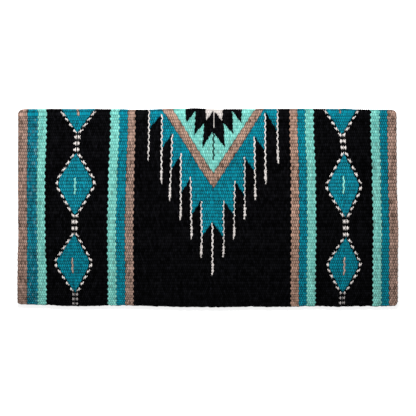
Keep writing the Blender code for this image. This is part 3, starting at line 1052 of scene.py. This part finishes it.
def wool_colour(tree, pattern, colour, second, speck, mottle, painted_hollow_shade):
    """The socket of the wool's colour, with painted shade in the hollows and the twist's grooves.
    """
    blend = sum_of(
        tree,
        (pattern["cloud"], *CLOUD_BLEND),
        (pattern["dye"], *DYE_BLEND),
        # painted shade in the grooves of the twist
        (pattern["twist"], *TWIST_GROOVE_SHADE),
    )
    lot = {"W": sum_of(tree, (pattern["tone"], LOT_FACTOR, 0.0))}
    chosen = {
        "Value": node_outputs(tree, "TexWhiteNoise", lot, noise_dimensions="1D")["Value"],
        "From Min": SPECKED_FROM,
        "From Max": 1.0,
        "To Max": SPECKED_MOST,
    }
    specked = node_outputs(tree, "MapRange", chosen)["Result"]
    dyed = mixed(tree, mixed(tree, (*colour, 1), (*second, 1), blend), (*speck, 1), specked)
    light = sum_of(
        tree,
        (pattern["tone"], mottle, 1.0),
        (pattern["fibre"], *FIBRE_LIGHT),
        # painted shade in the hollows between and round the grains
        (pattern["hollow"], -painted_hollow_shade, 0.0),
    )
    light = worked_out(tree, "MAXIMUM", light, DARKEST)
    return node_outputs(tree, "HueSaturation", {"Value": light, "Color": dyed})["Color"]


# %% [markdown]
# The streaks of the twist, with fine fibres over them, also push the surface in and out. They
# are too small for real mesh, so a bump does it. Wool scatters light at its edges, and a weak
# sheen stands for that.

# %% Wool recipe
WOOL_ROUGHNESS = {"Roughness": 0.92, "Sheen Roughness": 0.45}
WOOL_BUMP = {"Distance": 0.0004, "Strength": 0.7}
TWIST_BUMP = 0.7
FIBRE_BUMP = 0.5


def wool_material(name, colour, second, speck, mottle, painted_hollow_shade, sheen, gloss):
    """A wool yarn of one dye. Patches go towards the second colour, a few grains to the speck."""
    material = bpy.data.materials.new(name)
    material.use_nodes = True
    tree = material.node_tree
    pattern = wool_patterns(tree)
    height = sum_of(tree, (pattern["twist"], TWIST_BUMP, 0.0), (pattern["fibre"], FIBRE_BUMP, 0.0))
    bump = node_outputs(tree, "Bump", {"Height": height, **WOOL_BUMP})
    looks = {
        "Base Color": wool_colour(tree, pattern, colour, second, speck, mottle, painted_hollow_shade),
        "Normal": bump["Normal"],
        "Sheen Weight": sheen,
        "Specular IOR Level": gloss,
        **WOOL_ROUGHNESS,
    }
    feed(tree, tree.nodes["Principled BSDF"], looks)
    return material


def linear(red, green, blue):
    """A colour as painters' programs name it, from 0 to 255, in the linear light of a shader."""
    values = [c / 255 for c in (red, green, blue)]
    return [v / 12.92 if v <= 0.04045 else ((v + 0.055) / 1.055) ** 2.4 for v in values]


# %% [markdown]
# Each look has three colours (the main one, the second one and the speck), and then numbers:
# how mottled the grains are, how dark the painted shade in the hollows is, the sheen and the
# gloss. A dye lot has a look of its own, but the piece still keeps its yarn as a property.

# %% Yarns and dye lots
WOOL_LOOKS = {
    "taupe": ((190, 155, 140), (161, 131, 116), (116, 91, 76), 0.22, 0.88, 0.06, 0.15),
    "russet": ((192, 156, 138), (168, 134, 114), (124, 96, 80), 0.24, 0.90, 0.06, 0.15),
    "fawn": ((203, 163, 144), (176, 141, 121), (126, 98, 80), 0.22, 0.88, 0.06, 0.15),
    "teal": ((0, 147, 168), (0, 125, 149), (12, 139, 159), 0.19, 0.92, 0.05, 0.1),
    "lagoon": ((12, 156, 178), (6, 132, 156), (24, 148, 168), 0.20, 0.92, 0.05, 0.1),
    "heather": ((24, 139, 158), (0, 114, 138), (96, 152, 164), 0.28, 0.94, 0.05, 0.1),
    "mint": ((141, 226, 213), (104, 192, 182), (112, 172, 160), 0.10, 0.64, 0.06, 0.12),
    "black": ((14, 14, 16), (9, 9, 11), (18, 18, 22), 0.5, 0.95, 0.0, 0.01),
    "white": ((214, 207, 203), (198, 190, 185), (206, 198, 192), 0.10, 0.50, 0.06, 0.15),
    "chalk": ((246, 239, 235), (232, 224, 219), (234, 226, 220), 0.08, 0.36, 0.06, 0.15),
    "bone": ((230, 223, 219), (215, 207, 202), (220, 212, 208), 0.09, 0.43, 0.06, 0.15),
    "smoke": ((178, 172, 170), (158, 153, 151), (166, 160, 158), 0.10, 0.50, 0.06, 0.15),
    "sand": ((204, 184, 172), (180, 160, 148), (164, 146, 134), 0.14, 0.60, 0.06, 0.15),
    "jade": ((150, 240, 226), (128, 220, 208), (128, 200, 188), 0.10, 0.40, 0.06, 0.12),
    "undyed_warp": ((226, 214, 190), (206, 190, 160), (216, 202, 176), 0.1, 0.2, 0.06, 0.15),
}
wool = {}
for look, (*colours, mottle, painted_hollow_shade, sheen, gloss) in WOOL_LOOKS.items():
    lights = [linear(*colour) for colour in colours]
    wool[look] = wool_material(f"{look}_wool", *lights, mottle, painted_hollow_shade, sheen, gloss)
for group in pieces_of.values():
    for obj in group:
        obj.data.materials.append(wool[obj["look"]])
print(len(wool), "looks of wool on", sum(len(group) for group in pieces_of.values()), "pieces")

# %% [markdown]
# ## The warp inside
#
# The warp can't be seen, but it holds the cloth: one thick undyed yarn that runs to and fro
# under the ribs. Curves with a round bevel could draw it. Here each run is a mesh of rings,
# because a mesh is closed at its ends and has the same shape in every tool.

# %% Warp
WARP_RADIUS = 0.0012
WARP_SIDES = 8
WARP_STEPS = 44
WARP_INSET = 0.006


def warp_run(y, z):
    """Points of one straight run as rings round its middle line."""
    xs = np.linspace(LEFT_EDGE + WARP_INSET, RIGHT_EDGE - WARP_INSET, WARP_STEPS + 1)
    angle = np.linspace(0, 2 * math.pi, WARP_SIDES, endpoint=False)
    lines = (xs[:, None], y + WARP_RADIUS * np.cos(angle), z + WARP_RADIUS * np.sin(angle))
    shape = (WARP_STEPS + 1, WARP_SIDES)
    return np.stack([np.broadcast_to(line, shape) for line in lines], -1).reshape(-1, 3)


def warp_piece(name, runs):
    """One object with a closed tube for each run."""
    vertices = []
    faces = []
    for y, z in runs:
        start = len(vertices)
        vertices += warp_run(y, z).tolist()
        end = start + WARP_STEPS * WARP_SIDES
        for ring in range(start, end, WARP_SIDES):
            for k in range(WARP_SIDES):
                p, q = ring + k, ring + (k + 1) % WARP_SIDES
                faces.append((p, q, q + WARP_SIDES, p + WARP_SIDES))
        faces.append([start + k for k in range(WARP_SIDES)][::-1])
        faces.append([end + k for k in range(WARP_SIDES)])
    mesh = bpy.data.meshes.new(name)
    mesh.from_pydata(vertices, [], faces)
    mesh.validate()
    return added(name, mesh)


flap_runs = [AXIS_Y + TURN_REACH - depth_of(rib) for rib in range(1, FLAP_RIBS)]
front_warp = warp_piece("front_warp_yarn", [(y, AXIS_Z + MID) for y in flap_runs])
back_warp = warp_piece("back_warp_yarn", [(y, AXIS_Z - MID) for y in flap_runs])
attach(front_warp, "front_half")
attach(back_warp, "back_half")
turn_runs = []
for i in range(TURN_RIBS):
    angle = math.pi * (i + 0.5) / TURN_RIBS
    turn_runs.append((AXIS_Y + MID * math.sin(angle), AXIS_Z + MID * math.cos(angle)))
turn_warp = warp_piece("turn_warp_yarn", turn_runs)
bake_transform(turn_warp)
for obj, node in ((front_warp, "front_warp"), (back_warp, "back_warp"), (turn_warp, "turn_warp")):
    obj.data.materials.append(wool["undyed_warp"])
    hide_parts(node)
print(len(flap_runs), "runs of warp in each half,", len(turn_runs), "in the turn")

# %% [markdown]
# ## The ground of each flap
#
# Both flaps are sheets of cloth, and the largest piece of each is the black ground in the middle.
# This finds that piece and gathers the other pieces of the flap, and for the back flap the
# pieces of the turn too. Width times length would be too much, because the pattern is let into
# it. So its area is added up from its own faces, without the steep ones.


for half in ("front", "back"):
    ground = bpy.data.objects[f"{half}_centre_ground_weave"]
    others = [o for o in pieces_of[f"{half}_half"] if o != ground]
    if half == "back":
        others += pieces_of["turn"]

# %% [markdown]
# ## Floor and sky
#
# The photograph looks straight down on the blanket, on a white ground and with hardly any
# shadow. A lot of light on the floor would make it white, but it would wash out the wool too.
# So floor and sky are white only for rays that show the background: straight to the camera,
# mirrored, or through something clear. The wool gets a dimmer light.

# %% Background
FLOOR_SIZE = 40.0
FLOOR_DROP = 0.0005
FLOOR_GREY = 0.93
FLOOR_GLOW = 0.75
SKY_LIGHT = 0.22


def seen_directly(tree, factor, offset):
    """The offset for light rays, and the factor on top for the rays that show the background."""
    path = node_outputs(tree, "LightPath", {})
    seen = path["Is Camera Ray"]
    for ray in ("Is Glossy Ray", "Is Transmission Ray"):
        seen = worked_out(tree, "MAXIMUM", seen, path[ray])
    return worked_out(tree, "MULTIPLY_ADD", seen, factor, offset)


floor_mesh = bpy.data.meshes.new("floor")
r = FLOOR_SIZE / 2
floor_mesh.from_pydata([(-r, -r, 0), (r, -r, 0), (r, r, 0), (-r, r, 0)], [], [(0, 1, 2, 3)])
floor = added("floor", floor_mesh)
floor.location.z = -FLOOR_DROP
floor_paint = bpy.data.materials.new("floor_paint")
floor_paint.use_nodes = True
tree = floor_paint.node_tree
paint = {
    "Base Color": (FLOOR_GREY, FLOOR_GREY, FLOOR_GREY, 1),
    "Roughness": 1.0,
    "Specular IOR Level": 0.0,
    "Emission Color": (1, 1, 1, 1),
    "Emission Strength": seen_directly(tree, FLOOR_GLOW, 0),
}
feed(tree, tree.nodes["Principled BSDF"], paint)
floor.data.materials.append(floor_paint)

world = bpy.data.worlds.new("studio")
bpy.context.scene.world = world
world.use_nodes = True
tree = world.node_tree
sky = {"Color": (1, 1, 1, 1), "Strength": seen_directly(tree, 1 - SKY_LIGHT, SKY_LIGHT)}
feed(tree, tree.nodes["Background"], sky)

# %% [markdown]
# ## Lamp and camera
#
# A small lamp would draw hard shadows between the grains, and the sky alone would leave them
# flat. One large soft lamp, above the fold and a little to the left, shows the ribs. The camera
# stands far above, because a near one would show the sides of the cloth. Without a turn it looks
# straight down.

# %% Lamp
LAMP_SIZE = (0.5, 0.4)
LAMP_POWER = 22.5
LAMP_PLACE = (-0.11, 0.72, 1.10)
lamp_data = bpy.data.lights.new("soft_lamp", "AREA")
lamp_data.shape = "RECTANGLE"
lamp_data.size, lamp_data.size_y = LAMP_SIZE
lamp_data.energy = LAMP_POWER
lamp = added("soft_lamp", lamp_data)
lamp.location = LAMP_PLACE
lamp.rotation_euler = (-lamp.location).to_track_quat("-Z", "Y").to_euler()

# %% Camera
CAMERA_X = 0.0012
CAMERA_HEIGHT = 2.692
LENS = 100
SENSOR_WIDTH = 36
camera_data = bpy.data.cameras.new("camera")
camera_data.lens = LENS
camera_data.sensor_width = SENSOR_WIDTH
camera = added("camera", camera_data)
camera.location = (CAMERA_X, 0.0, CAMERA_HEIGHT)
bpy.context.scene.camera = camera
bpy.context.scene.view_settings.view_transform = "Standard"
